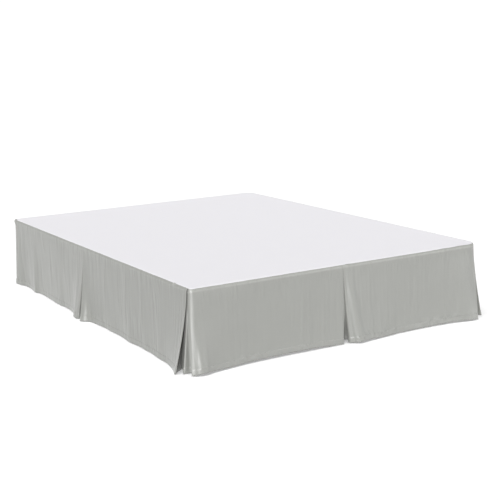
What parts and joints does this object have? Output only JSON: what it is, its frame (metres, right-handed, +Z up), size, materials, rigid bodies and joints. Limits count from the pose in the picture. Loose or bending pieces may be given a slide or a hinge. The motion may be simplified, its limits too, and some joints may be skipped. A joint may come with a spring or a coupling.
{
  "type": "bed skirt on a box spring",
  "caption": "Tailored bed skirt with a flat deck and pleated drops at the sides and foot, fitted over a plain box spring on low legs.",
  "frame": {"origin": "on the floor under the middle of the outline of the hems", "axes": "+Z up, +Y from the foot of the bed to its head, -X towards the side that is on the left seen from the foot"},
  "size_m": [1.6356, 2.1155, 0.3586],
  "materials": {
    "grey_cloth": "matt woven cotton blend, silver sage grey",
    "white_cloth": "matt thin white cloth",
    "ticking": "matt off-white cover",
    "leg_wood": "dark satin"
  },
  "bodies": {
    "root": {"deck": "white_cloth", "drop_left": "grey_cloth", "drop_foot": "grey_cloth", "drop_right": "grey_cloth", "corner_insert_left": "grey_cloth", "corner_insert_right": "grey_cloth", "box_spring": "ticking", "leg_foot_left": "leg_wood", "leg_foot_right": "leg_wood", "leg_head_left": "leg_wood", "leg_head_right": "leg_wood", "leg_middle": "leg_wood"}
  },
  "joints": []
}
